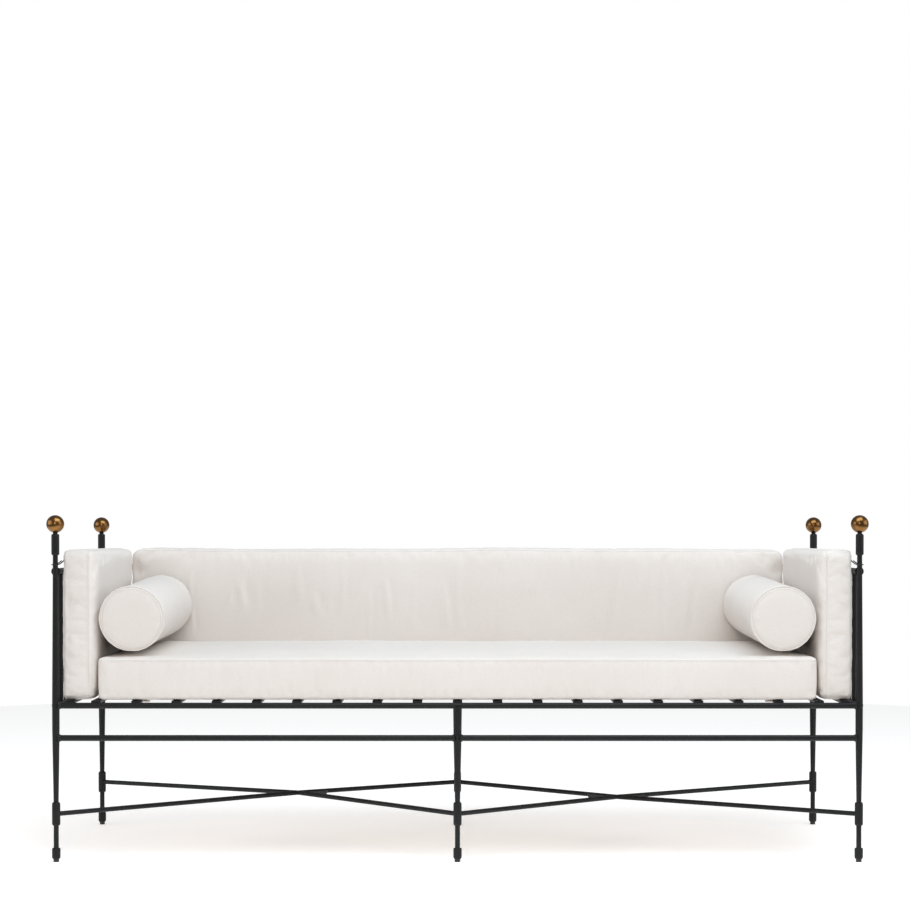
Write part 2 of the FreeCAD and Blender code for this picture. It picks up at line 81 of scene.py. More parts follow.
# ---------------------------------------------------------------- node helpers
class Nodes:
    """A small wrapper that makes and links shader nodes."""

    def __init__(self, name):
        self.material = bpy.data.materials.new(name)
        self.material.use_nodes = True
        self.tree = self.material.node_tree
        self.shader = self.tree.nodes["Principled BSDF"]

    def add(self, kind, **settings):
        node = self.tree.nodes.new(kind)
        for key, value in settings.items():
            setattr(node, key, value)
        return node

    def set(self, socket, value):
        """Sets one of the shader's own sockets."""
        self.shader.inputs[socket].default_value = value

    def link(self, source, target):
        self.tree.links.new(source, target)

    def plug(self, value, socket):
        if isinstance(value, bpy.types.NodeSocket):
            self.link(value, socket)
        else:
            socket.default_value = value

    def math(self, operation, first, second=0.0):
        node = self.add("ShaderNodeMath", operation=operation)
        self.plug(first, node.inputs[0])
        self.plug(second, node.inputs[1])
        return node.outputs[0]

    def place(self):
        """Position in the piece's own frame, in metres."""
        return self.add("ShaderNodeTexCoord").outputs["Object"]

    def noise(self, scale, detail=2.0, roughness=0.5):
        node = self.add("ShaderNodeTexNoise")
        node.inputs["Scale"].default_value = scale
        node.inputs["Detail"].default_value = detail
        node.inputs["Roughness"].default_value = roughness
        self.link(self.place(), node.inputs["Vector"])
        return node.outputs["Fac"]

    def ramp(self, factor, stops):
        node = self.add("ShaderNodeValToRGB")
        self.link(factor, node.inputs["Fac"])
        elements = node.color_ramp.elements
        while len(elements) < len(stops):
            elements.new(0.5)
        for element, (position, colour) in zip(elements, stops):
            element.position = position
            element.color = (*colour, 1.0)
        return node.outputs["Color"]

    def mix(self, factor, first, second, blend="MIX"):
        node = self.add("ShaderNodeMix", data_type="RGBA", blend_type=blend)
        self.plug(factor, node.inputs[0])
        for value, socket in ((first, node.inputs[6]), (second, node.inputs[7])):
            linked = isinstance(value, bpy.types.NodeSocket)
            self.plug(value if linked else (*value, 1.0), socket)
        return node.outputs[2]

    def axes(self):
        """The three coordinates of place(), apart."""
        split = self.add("ShaderNodeSeparateXYZ")
        self.link(self.place(), split.inputs[0])
        return split.outputs

    def uneven_roughness(self, factor, low, high):
        spread = self.add("ShaderNodeMapRange")
        self.link(factor, spread.inputs["Value"])
        spread.inputs["To Min"].default_value = low
        spread.inputs["To Max"].default_value = high
        self.link(spread.outputs["Result"], self.shader.inputs["Roughness"])

    def bump(self, height, distance, strength=1.0, below=None):
        node = self.add("ShaderNodeBump")
        node.inputs["Distance"].default_value = distance
        node.inputs["Strength"].default_value = strength
        self.link(height, node.inputs["Height"])
        if below is not None:
            self.link(below, node.inputs["Normal"])
        return node.outputs["Normal"]


def weave_height(n, pitch):
    """Plain weave in the two directions that lie in the surface, whichever way it faces."""
    place = n.axes()
    facing = n.add("ShaderNodeSeparateXYZ")
    n.link(n.add("ShaderNodeNewGeometry").outputs["Normal"], facing.inputs[0])
    waves = []
    for axis in range(3):
        angle = n.math("MULTIPLY", place[axis], 2 * math.pi / pitch)
        waves.append(n.math("SINE", angle))
    height = None
    for axis in range(3):
        across, along = [waves[i] for i in range(3) if i != axis]
        cloth = n.math("MULTIPLY", across, along)
        size = n.math("ABSOLUTE", facing.outputs[axis])
        part = n.math("MULTIPLY", cloth, n.math("POWER", size, 4.0))
        height = part if height is None else n.math("ADD", height, part)
    return height


# ---------------------------------------------------------------- materials
CANVAS_PITCH = 0.0011         # one over-and-under of the weave
THREAD_PITCH = 0.0008
TAPE_PITCH = 0.0016
BRAID_PITCH = 0.0016
TEETH_PITCH = 0.0024
TURNING_PITCH = 0.0011        # between the lathe marks of the balls


def cotton(name, tint, shade, pitch):
    """Off-white plain-weave cotton canvas: slubs, soft sheen, faint uneven colour."""
    n = Nodes(name)
    cloud = n.noise(3.0, 3.0)
    slub = n.noise(160.0, 4.0, 0.7)
    base = n.ramp(cloud, [(0.32, shade), (0.68, tint)])
    thread = n.ramp(slub, [(0.35, (0.965, 0.965, 0.965)), (0.65, (1.0, 1.0, 1.0))])
    n.link(n.mix(1.0, base, thread, "MULTIPLY"), n.shader.inputs["Base Color"])
    weave = n.bump(weave_height(n, pitch), 0.00035, 0.35)
    nap = n.bump(slub, 0.0005, 0.2, weave)
    n.link(n.bump(n.noise(16.0, 2.0), 0.0020, 0.25, nap), n.shader.inputs["Normal"])
    n.set("Roughness", 0.92)
    n.set("Specular IOR Level", 0.2)
    n.set("Sheen Weight", 0.18)
    n.set("Sheen Roughness", 0.55)
    return n.material


def iron():
    """Satin charcoal paint over forged bar: soft hammering, brush grain, rubbed spots."""
    n = Nodes("painted_iron")
    cloud = n.noise(9.0, 4.0, 0.6)
    grain = n.noise(420.0, 3.0, 0.7)
    rubbed = n.noise(70.0, 5.0, 0.75)
    base = n.ramp(cloud, [(0.3, (0.0035, 0.0035, 0.004)), (0.7, (0.0085, 0.0083, 0.0083))])
    worn = n.ramp(rubbed, [(0.66, (0.0, 0.0, 0.0)), (0.76, (1.0, 1.0, 1.0))])
    n.link(n.mix(n.math("MULTIPLY", worn, 0.35), base, (0.045, 0.043, 0.042)),
           n.shader.inputs["Base Color"])
    n.uneven_roughness(n.noise(38.0, 4.0), 0.34, 0.58)
    hammer = n.bump(n.noise(55.0, 2.0), 0.0012, 0.45)
    n.link(n.bump(grain, 0.00025, 0.4, hammer), n.shader.inputs["Normal"])
    n.set("Specular IOR Level", 0.3)
    return n.material


def brass():
    """Aged brass: warm metal with brown patina and fine turning marks."""
    n = Nodes("aged_brass")
    patina = n.noise(22.0, 3.0, 0.55)
    n.link(n.ramp(patina, [(0.30, (0.16, 0.070, 0.015)), (0.5, (0.23, 0.108, 0.025)),
                           (0.72, (0.30, 0.152, 0.040))]), n.shader.inputs["Base Color"])
    n.set("Metallic", 1.0)
    n.set("Coat Weight", 0.4)
    n.set("Coat Roughness", 0.12)
    n.set("Coat Tint", (1.0, 0.86, 0.62, 1.0))
    n.uneven_roughness(n.noise(60.0, 4.0), 0.21, 0.27)
    turning = n.math("SINE", n.math("MULTIPLY", n.axes()["Z"], 2 * math.pi / TURNING_PITCH))
    marks = n.bump(turning, 0.00002, 0.5)
    n.link(n.bump(n.noise(60.0, 2.0), 0.00003, 0.2, marks), n.shader.inputs["Normal"])
    return n.material


def plain(name, colour, roughness, bump_scale, metallic=0.0):
    """Small parts: one tone with a fine uneven surface."""
    n = Nodes(name)
    speck = n.noise(bump_scale, 4.0, 0.6)
    low = tuple(c * 0.75 for c in colour)
    n.link(n.ramp(speck, [(0.3, low), (0.7, colour)]), n.shader.inputs["Base Color"])
    n.link(n.bump(speck, 0.0004, 0.4), n.shader.inputs["Normal"])
    n.set("Roughness", roughness)
    n.set("Metallic", metallic)
    return n.material


def cord_material():
    """Braided black cord."""
    n = Nodes("braided_cord")
    n.link(n.ramp(n.noise(500.0, 2.0), [(0.3, (0.006, 0.006, 0.006)), (0.7, (0.03, 0.03, 0.03))]),
           n.shader.inputs["Base Color"])
    n.link(n.bump(weave_height(n, BRAID_PITCH), 0.0005, 0.8), n.shader.inputs["Normal"])
    n.set("Roughness", 0.8)
    return n.material


def zip_material():
    """Zip: woven tape with rows of coil teeth across it."""
    n = Nodes("zip")
    place = n.axes()
    run = n.math("ADD", place["X"], place["Y"])
    teeth = n.math("SINE", n.math("MULTIPLY", run, 2 * math.pi / TEETH_PITCH))
    n.link(n.ramp(teeth, [(0.3, (0.5, 0.47, 0.43)), (0.6, (0.74, 0.71, 0.66))]),
           n.shader.inputs["Base Color"])
    n.link(n.bump(teeth, 0.0006, 0.8), n.shader.inputs["Normal"])
    n.set("Roughness", 0.6)
    return n.material


COTTON = cotton("cream_cotton", (0.770, 0.708, 0.656), (0.740, 0.674, 0.618), CANVAS_PITCH)
# Seam lines: a thin ridge along each real seam, in cotton darkened as painted shade for the shadow
# in the seam's crevice.
SHADED_SEAM = cotton("seam_with_painted_shade", (0.71, 0.665, 0.62), (0.66, 0.61, 0.565), THREAD_PITCH)
TAPE = cotton("cream_tape", (0.8, 0.74, 0.69), (0.72, 0.66, 0.6), TAPE_PITCH)
IRON = iron()
BRASS = brass()
CORD = cord_material()
ZIP = zip_material()
STEEL = plain("stud_steel", (0.45, 0.45, 0.46), 0.4, 300.0, 1.0)
GLIDE = plain("glide_plastic", (0.022, 0.022, 0.022), 0.55, 240.0)
FOAM = plain("filling", (0.86, 0.82, 0.7), 0.95, 500.0)
SLOT_MATERIALS = {
    "black_iron": IRON,
    "aged_brass": BRASS,
    "stud_steel": STEEL,
    "glide_plastic": GLIDE,
    "cream_cotton": COTTON,
    "filling": FOAM,
    "cream_tape": TAPE,
    "black_cord": CORD,
    "zip_tape": ZIP,
}


def dress_frame():
    """Gives every CAD node the material of its slot."""
    for part in frame["record"]["subparts"]:
        node = frame["nodes"][part["node"]]
        node.data.materials.clear()
        node.data.materials.append(SLOT_MATERIALS[part["material_slot"]])


# ---------------------------------------------------------------- cushion helpers
def mesh_object(name, mesh):
    piece = bpy.data.objects.new(name, mesh)
    scene.collection.objects.link(piece)
    return piece


def apply_modifiers(piece):
    """Bakes the modifiers of one object into its mesh."""
    graph = bpy.context.evaluated_depsgraph_get()
    mesh = bpy.data.meshes.new_from_object(piece.evaluated_get(graph))
    piece.modifiers.clear()
    piece.data = mesh
    return piece


def points_of(mesh):
    co = np.empty(len(mesh.vertices) * 3)
    mesh.vertices.foreach_get("co", co)
    return co.reshape(-1, 3)


def set_points(mesh, co):
    mesh.vertices.foreach_set("co", co.reshape(-1))
    mesh.update()


def remeshed(piece, voxel):
    modifier = piece.modifiers.new("voxels", "REMESH")
    modifier.mode = "VOXEL"
    modifier.voxel_size = voxel
    return apply_modifiers(piece)


COVER_SLACK = 0.03            # how much wider the cloth is than its flat shape
SIM_FRAMES = 20
STIFFNESS = 12.0
PRESSURE = 4.0


def inflate(piece, pinned, slack):
    """Cloth simulation: pinned points hold the seams while the panels swell."""
    group = piece.vertex_groups.new(name="seams")
    group.add([int(i) for i in np.nonzero(pinned)[0]], 1.0, "REPLACE")
    modifier = piece.modifiers.new("cloth", "CLOTH")
    settings = modifier.settings
    settings.quality = 5
    settings.mass = 0.35
    settings.tension_stiffness = STIFFNESS
    settings.compression_stiffness = STIFFNESS
    settings.shear_stiffness = STIFFNESS * 0.4
    settings.bending_stiffness = 0.6
    settings.air_damping = 3.0
    settings.vertex_group_mass = "seams"
    settings.shrink_min = -slack
    settings.shrink_max = -slack
    settings.use_pressure = True
    settings.uniform_pressure_force = PRESSURE
    settings.effector_weights.gravity = 0.0
    modifier.collision_settings.use_collision = False
    modifier.point_cache.frame_start = 1
    modifier.point_cache.frame_end = SIM_FRAMES
    scene.frame_start = 1
    scene.frame_end = SIM_FRAMES
    for step in range(1, SIM_FRAMES + 1):
        scene.frame_set(step)
    apply_modifiers(piece)
    scene.frame_set(1)


def soft_limit(moved, cap):
    """Shortens each displacement towards its own cap without a crease."""
    length = np.linalg.norm(moved, axis=1)
    cap = np.maximum(cap, 1e-6)
    scale = cap * np.tanh(length / cap) / np.maximum(length, 1e-9)
    return moved * scale[:, None]


def smoothstep(value, low, high):
    t = np.clip((value - low) / (high - low), 0.0, 1.0)
    return t * t * (3 - 2 * t)


def wrinkle_field(co, seed, scale):
    """Smooth noise between about -1 and 1 at each point."""
    shift = Vector((seed * 3.1, seed * 1.7, seed * 0.9))
    values = [noise.fractal(Vector(p * scale) + shift, 1.0, 2.0, 2) for p in co]
    return np.array(values)


def finish_cushion(piece, name, body, nodes):
    piece.name = name
    piece.data.name = name
    subdivision = piece.modifiers.new("smooth", "SUBSURF")
    subdivision.levels = 1
    subdivision.render_levels = 1
    apply_modifiers(piece)
    for polygon in piece.data.polygons:
        polygon.use_smooth = True
    piece.data.materials.clear()
    piece.data.materials.append(COTTON)
    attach(piece, body)
    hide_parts(*nodes)


def welt(name, path, radius, body, target, lift, material):
    """Thin sewn line along a closed path of points, laid on the surface of target."""
    count = len(path)
    tree = BVHTree.FromObject(target, bpy.context.evaluated_depsgraph_get())
    points = []
    for p in path:
        near, normal = tree.find_nearest(Vector(p))[:2]
        points.append(near + normal * lift)
    rings = 8
    verts = []
    faces = []
    for i in range(count):
        ahead = points[(i + 1) % count] - points[i - 1]
        ahead.normalize()
        side = ahead.cross(Vector((0.3, 0.5, 0.81))).normalized()
        up = side.cross(ahead).normalized()
        for k in range(rings):
            a = 2 * math.pi * k / rings
            verts.append(points[i] + side * (math.cos(a) * radius) + up * (math.sin(a) * radius))
    for i in range(count):
        j = (i + 1) % count
        for k in range(rings):
            m = (k + 1) % rings
            faces.append((i * rings + k, i * rings + m, j * rings + m, j * rings + k))
    mesh = bpy.data.meshes.new(name)
    mesh.from_pydata([tuple(v) for v in verts], [], faces)
    mesh.update()
    piece = mesh_object(name, mesh)
    for polygon in mesh.polygons:
        polygon.use_smooth = True
    mesh.materials.append(material)
    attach(piece, body)


def rounded_rectangle(u0, u1, v0, v1, radius, step):
    """Points along a rounded rectangle in a plane, evenly spaced, corners as arcs."""
    outline = []
    corners = [(u1 - radius, v0 + radius, -90), (u1 - radius, v1 - radius, 0),
               (u0 + radius, v1 - radius, 90), (u0 + radius, v0 + radius, 180)]
    for index, (cu, cv, start) in enumerate(corners):
        for k in range(7):
            a = math.radians(start + 15 * k)
            outline.append((cu + radius * math.cos(a), cv + radius * math.sin(a)))
        nu, nv, turn = corners[(index + 1) % 4]
        first = outline[-1]
        a = math.radians(turn)
        last = (nu + radius * math.cos(a), nv + radius * math.sin(a))
        run = math.dist(first, last)
        for k in range(1, int(run / step)):
            t = k / int(run / step)
            outline.append((first[0] + (last[0] - first[0]) * t,
                            first[1] + (last[1] - first[1]) * t))
    return outline


def box_cushion(name, low, high, normal_axis, seams, voxel, corner, slack, caps, puff=0.0):
    """Boxed cushion: two panels that swell between seam lines at seams (low, high) on normal_axis.

    puff is how far one panel already stands out, rounded, from its seam: positive for the high one.
    caps is a function of the start points and their normals that gives how far each may move."""
    spans = [i for i in range(3) if i != normal_axis]
    build = bmesh.new()
    bmesh.ops.create_cube(build, size=1.0)
    for vert in build.verts:
        for i in range(3):
            edge = (low[i], high[i]) if i != normal_axis else seams
            vert.co[i] = edge[1] if vert.co[i] > 0 else edge[0]
    upright = [e for e in build.edges
               if abs((e.verts[0].co - e.verts[1].co).normalized()[normal_axis]) > 0.5]
    bmesh.ops.bevel(build, geom=upright, offset=corner, segments=5, affect="EDGES", profile=0.5)
    if puff:
        seam = seams[1] if puff > 0 else seams[0]
        panel = [f for f in build.faces
                 if all(abs(v.co[normal_axis] - seam) < 1e-6 for v in f.verts)]
        moved = bmesh.ops.extrude_face_region(build, geom=panel)["geom"]
        for vert in (g for g in moved if isinstance(g, bmesh.types.BMVert)):
            vert.co[normal_axis] += puff
        bmesh.ops.delete(build, geom=panel, context="FACES")
        edges = [e for e in build.edges
                 if all(abs(v.co[normal_axis] - seam - puff) < 1e-6 for v in e.verts)]
        bmesh.ops.bevel(build, geom=edges, offset=abs(puff) * 0.98, segments=6, affect="EDGES",
                        profile=0.5)
    mesh = bpy.data.meshes.new(name)
    build.to_mesh(mesh)
    build.free()
    piece = remeshed(mesh_object(name, mesh), voxel)
    start = points_of(piece.data)
    normals = vertex_normals(piece.data)
    depth = start[:, normal_axis]
    near = voxel * 0.7
    near_rim = np.zeros(len(start), bool)
    for i in spans:
        near_rim |= (start[:, i] < low[i] + near) | (start[:, i] > high[i] - near)
    for su in (-1, 1):
        for sv in (-1, 1):
            cu = (high if su > 0 else low)[spans[0]] - su * corner
            cv = (high if sv > 0 else low)[spans[1]] - sv * corner
            u = (start[:, spans[0]] - cu) * su
            v = (start[:, spans[1]] - cv) * sv
            near_rim |= (u > 0) & (v > 0) & (np.hypot(u, v) > corner - near)
    at_seam = (abs(depth - seams[0]) < near) | (abs(depth - seams[1]) < near)
    inflate(piece, near_rim & at_seam, slack)
    moved = soft_limit(points_of(piece.data) - start, caps(start, normals))
    set_points(piece.data, start + moved)
    return piece


def limits(node, trim):
    """A CAD node's box drawn in by trim = (x, y, low z, high z)."""
    low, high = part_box(node)
    return (Vector((low.x + trim[0], low.y + trim[1], low.z + trim[2])),
            Vector((high.x - trim[0], high.y - trim[1], high.z - trim[3])))


def folds(co, normals, lines, axis_along, axis_across):
    """Shallow creases: each line is (place across, start, end, half width, depth)."""
    shift = np.zeros(len(co))
    along = co[:, axis_along]
    across = co[:, axis_across]
    for index, (place, start, end, width, depth) in enumerate(lines):
        bend = place + 0.012 * np.sin(along * 9.0 + index * 2.3)
        ridge = np.exp(-((across - bend) / width) ** 2)
        groove = np.exp(-((across - bend - 1.5 * width) / width) ** 2)
        span = smoothstep(along, start, start + 0.05) * (1 - smoothstep(along, end - 0.05, end))
        shift += depth * (ridge - 0.8 * groove) * span
    return normals * shift[:, None]


def vertex_normals(mesh):
    return np.array([v.normal for v in mesh.vertices])


def by_direction(normals, x, y, z):
    """Mixes three caps by how much each point faces along x, y and z."""
    weight = normals ** 2
    return weight[:, 0] * x + weight[:, 1] * y + weight[:, 2] * z


# ---------------------------------------------------------------- seat cushion
# A GIVE is how far that face of a cushion may swell. A ROLL is the width of a panel's rim over
# which its bulge builds up.
UNDER_GIVE = 0.0009
PANEL_VOXEL = 0.0078          # mesh size of the seat and back cushions
SEAM_STEP = 0.008             # between the points of their seam lines
SEAM_RADIUS = 0.0009
SEAT_BOXING = 0.104
SEAT_PUFF = 0.009             # how far the rounded top panel stands above its seam
SEAT_CORNER = 0.018
SEAT_SLACK = 0.02
SEAT_CROWN = 0.0100           # rise of the top panel's middle over its rim
SEAT_CROWN_START = 0.095      # from the front edge to where the tilted crown has that rise
SEAT_RIM_GIVE = 0.002
SEAT_SIDE_GIVE = 0.0008
SEAT_FRONT_GIVE = 0.0047
SEAT_ROLL = 0.13
CROWN_TILT = math.radians(1.6)      # the seat's crown, and the bolsters on it, rise to the back


def seat_cushion():
    low, high = limits("seat_cushion_cover", (0.0008, 0.005, 0.0010, 0.0))
    high.z = low.z + SEAT_BOXING

    def caps(co, normals):
        sides = np.minimum(co[:, 0] - low.x, high.x - co[:, 0])
        ends = np.minimum(co[:, 1] - low.y, (high.y - co[:, 1]) * 2.5)
        to_edge = np.minimum(sides, ends)
        slope = (co[:, 1] - low.y - SEAT_CROWN_START) * math.tan(CROWN_TILT)
        top = SEAT_RIM_GIVE + (SEAT_CROWN + slope) * smoothstep(to_edge, 0.0, SEAT_ROLL)
        vertical = np.where(normals[:, 2] > 0, top, UNDER_GIVE)
        return by_direction(normals, SEAT_SIDE_GIVE, SEAT_FRONT_GIVE, vertical)

    piece = box_cushion("seat", low, high, 2, (low.z, high.z), PANEL_VOXEL, SEAT_CORNER, SEAT_SLACK,
                        caps, SEAT_PUFF)
    co = points_of(piece.data)
    normals = vertex_normals(piece.data)
    upward = np.clip(normals[:, 2], 0, 1) ** 2
    frontward = np.clip(-normals[:, 1], 0, 1) ** 2
    dents = wrinkle_field(co, 3, 5.0) * 0.0022 * upward
    puckers = wrinkle_field(co, 5, 14.0) * 0.0009 * frontward
    co += normals * (dents + puckers - 0.001 * upward)[:, None]
    set_points(piece.data, co)
    finish_cushion(piece, "seat_cushion", "frame", ["seat_cushion_core", "seat_cushion_cover"])
    # Seam lines at the top and bottom, darkened with painted shade.
    for label, z in (("top", high.z), ("bottom", low.z)):
        outline = rounded_rectangle(low.x, high.x, low.y, high.y, SEAT_CORNER, SEAM_STEP)
        path = [(x, y, z) for x, y in outline]
        welt("seat_seam_" + label, path, SEAM_RADIUS, "frame", piece, 0.0, SHADED_SEAM)


# ---------------------------------------------------------------- arm cushions
ARM_BOXING = 0.066
ARM_PUFF = 0.016              # how far the rounded inner panel stands from its seam
ARM_CORNER = 0.016
ARM_VOXEL = 0.0062
ARM_SEAM_STEP = 0.007
ARM_TOP_GIVE = 0.0036
ARM_FRONT_GIVE = 0.0038
ARM_OUTER_GIVE = 0.006
ARM_ROLL = (0.01, 0.09)
ARM_PRESS = 0.010             # how much further it may press towards the back cushion


def arm_cushion(side):
    sign = SIDES[side]
    node = "arm_cushion_" + side + "_cover"
    low, high = limits(node, (0.0, 0.004, 0.0010, 0.0035))
    face = low.x if sign > 0 else high.x
    outer = (high.x if sign > 0 else low.x) - sign * 0.0065
    inner = outer - sign * ARM_BOXING
    reach = abs(inner) - ARM_PUFF - abs(face)
    seams = (min(outer, inner), max(outer, inner))

    def free_room(co):
        """Where the arm may press towards the back cushion: behind, above the bolsters."""
        return smoothstep(co[:, 1], 0.0, 0.17) * smoothstep(co[:, 2], 0.69, 0.74)

    def caps(co, normals):
        to_edge = np.minimum(np.minimum(co[:, 1] - low.y, (high.y - co[:, 1]) * 3),
                             np.minimum(co[:, 2] - low.z, high.z - co[:, 2]))
        inward = normals[:, 0] * sign < 0
        panel = 0.003 + (reach + 0.004) * smoothstep(to_edge, *ARM_ROLL)
        panel += ARM_PRESS * free_room(co)
        sideways = np.where(inward, panel, ARM_OUTER_GIVE)
        upright = np.where(normals[:, 2] > 0, ARM_TOP_GIVE, UNDER_GIVE)
        return by_direction(normals, sideways, ARM_FRONT_GIVE, upright)

    piece = box_cushion("arm_" + side, low, high, 0, seams, ARM_VOXEL, ARM_CORNER, COVER_SLACK,
                        caps, -sign * ARM_PUFF)
    co = points_of(piece.data)
    normals = vertex_normals(piece.data)
    inward = np.clip(-normals[:, 0] * sign, 0, 1) ** 2
    frontward = np.clip(-normals[:, 1], 0, 1) ** 2
    puckers = wrinkle_field(co, 11 + sign, 13.0) * 0.0017
    dents = wrinkle_field(co, 17 + sign, 6.0) * 0.0016 * inward
    co += normals * (puckers * frontward + dents)[:, None]
    rearward = smoothstep(co[:, 1], low.y, high.y) * smoothstep(co[:, 2], low.z, high.z)
    co[:, 0] -= sign * 0.011 * rearward * smoothstep(-co[:, 0] * sign, -abs(outer), -abs(inner))
    stop = abs(face) + 0.0012 - 0.005 * free_room(co)
    past = np.maximum(stop - co[:, 0] * sign, 0)
    co[:, 0] += sign * (past - 0.001 * np.tanh(past / 0.004))
    set_points(piece.data, co)
    nodes = ["arm_cushion_" + side + "_core", node]
    finish_cushion(piece, "arm_cushion_" + side, "frame", nodes)
    # Seam lines on both faces, darkened with painted shade.
    outline = rounded_rectangle(low.y, high.y, low.z, high.z, ARM_CORNER, ARM_SEAM_STEP)
    for label, x in (("outer", outer), ("inner", inner)):
        path = [(x, y, z) for y, z in outline]
        welt("arm_seam_" + label + "_" + side, path, SEAM_RADIUS, "frame", piece, 0.0, SHADED_SEAM)
    return piece


# ---------------------------------------------------------------- back cushion
BACK_BOXING = 0.101
BACK_CORNER = 0.022
BACK_SIDE_GIVE = 0.0015
BACK_REAR_GIVE = 0.0026
BACK_TOP_GIVE = 0.0055
BACK_ROLL = 0.12
FOLD_COUNT = 26


def back_cushion():
    low, high = limits("back_cushion_cover", (-0.0020, 0.0, 0.0010, 0.005))
    seat_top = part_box("seat_cushion_cover")[1].z
    rear = high.y - 0.003
    front = rear - BACK_BOXING
    reach = front - low.y

    def caps(co, normals):
        to_edge = np.minimum(np.minimum(co[:, 0] - low.x, high.x - co[:, 0]),
                             np.minimum(co[:, 2] - low.z, high.z - co[:, 2]))
        panel = 0.006 + (reach - 0.007) * smoothstep(to_edge, 0.0, BACK_ROLL)
        facing = np.where(normals[:, 1] < 0, panel, BACK_REAR_GIVE)
        upright = np.where(normals[:, 2] > 0, BACK_TOP_GIVE, UNDER_GIVE)
        return by_direction(normals, BACK_SIDE_GIVE, facing, upright)

    piece = box_cushion("back", low, high, 1, (front, rear), PANEL_VOXEL, BACK_CORNER, COVER_SLACK,
                        caps)
    co = points_of(piece.data)
    normals = vertex_normals(piece.data)
    frontward = np.clip(-normals[:, 1], 0, 1) ** 2
    chooser = random.Random(4)
    lines = []
    for index in range(FOLD_COUNT):
        place = low.x + (high.x - low.x) * (index + chooser.uniform(0.1, 0.9)) / FOLD_COUNT
        top = high.z - chooser.uniform(0.0, 0.12)
        foot = seat_top + chooser.uniform(-0.02, 0.10)
        width = chooser.uniform(0.0055, 0.013)
        lines.append((place, foot, top, width, chooser.uniform(0.0012, 0.0034)))
    co += folds(co, normals, lines, 2, 0) * frontward[:, None]
    dents = wrinkle_field(co, 23, 4.0) * 0.0022
    co += normals * ((dents - 0.0015) * frontward)[:, None]
    wave = np.sin(co[:, 0] * 5.2 + 0.6) * 0.0016 + np.sin(co[:, 0] * 13.0) * 0.0010 - 0.0016
    co[:, 2] += wave * smoothstep(co[:, 2], high.z - 0.10, high.z)
    set_points(piece.data, co)
    nodes = ["back_cushion_core", "back_cushion_cover"]
    finish_cushion(piece, "back_cushion", "frame", nodes)
    # Seam lines at the front and rear, darkened with painted shade.
    outline = rounded_rectangle(low.x, high.x, low.z, high.z, BACK_CORNER, SEAM_STEP)
    for label, y in (("front", front), ("rear", rear)):
        path = [(x, y, z) for x, z in outline]
        welt("back_seam_" + label, path, SEAM_RADIUS, "frame", piece, 0.0, SHADED_SEAM)
    return piece


# ---------------------------------------------------------------- bolsters
BOLSTER_RADIUS = 0.0885
BOLSTER_EDGE = 0.009          # rounding of its CAD ends
BOLSTER_VOXEL = 0.0058
PIPING_RADIUS = 0.0022
END_ROOM = 0.0065             # left at each end for its swell
END_GIVE = 0.0060
RING_POINTS = 110


def leaned(points, y, z):
    """Points turned about the x direction through (y, z), so that their rear end rises."""
    out = np.array(points, float)
    along = out[:, 1] - y
    above = out[:, 2] - z
    out[:, 1] = y + along * math.cos(CROWN_TILT) - above * math.sin(CROWN_TILT)
    out[:, 2] = z + along * math.sin(CROWN_TILT) + above * math.cos(CROWN_TILT)
    return out


